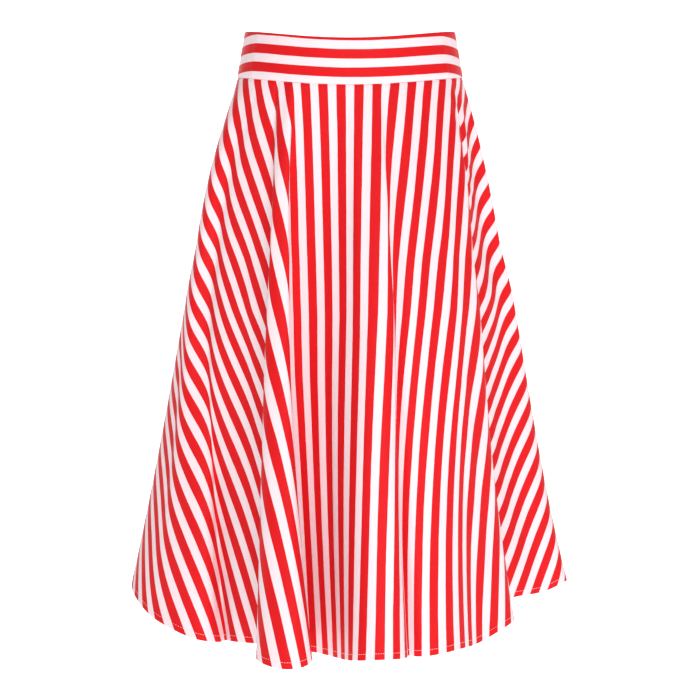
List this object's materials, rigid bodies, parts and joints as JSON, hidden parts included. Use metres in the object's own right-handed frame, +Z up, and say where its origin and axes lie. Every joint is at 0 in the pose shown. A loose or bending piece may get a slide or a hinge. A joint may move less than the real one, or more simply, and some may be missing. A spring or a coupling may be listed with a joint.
{
  "type": "a-line skirt",
  "caption": "Knee-length flared skirt in red and white striped cotton, with deep hanging folds, a contoured waistband and a back zip.",
  "frame": {"origin": "centre of the waist seam, where the waistband meets the skirt", "axes": "+Z up, the front faces -Y, and the wearer's left is +X"},
  "size_m": [0.5405, 0.5518, 0.7127],
  "materials": {
    "cloth": "smooth cotton, red and white stripes",
    "tape": "woven zip tape",
    "slider_metal": "satin"
  },
  "bodies": {
    "skirt": {"skirt_front": "cloth", "skirt_back_left": "cloth", "skirt_back_right": "cloth", "waistband_front": "cloth", "waistband_back_left": "cloth", "waistband_back_right": "cloth", "zip_tape": "tape", "zip_slider": "slider_metal"},
    "pull": {"zip_pull": "slider_metal"}
  },
  "joints": [
    {"name": "pull_swing", "type": "hinge", "parent": "skirt", "child": "pull", "pos_m": [0, 0.09675, 0.04897], "axis": [1, 0, 0], "range_deg": [0, 170]}
  ]
}
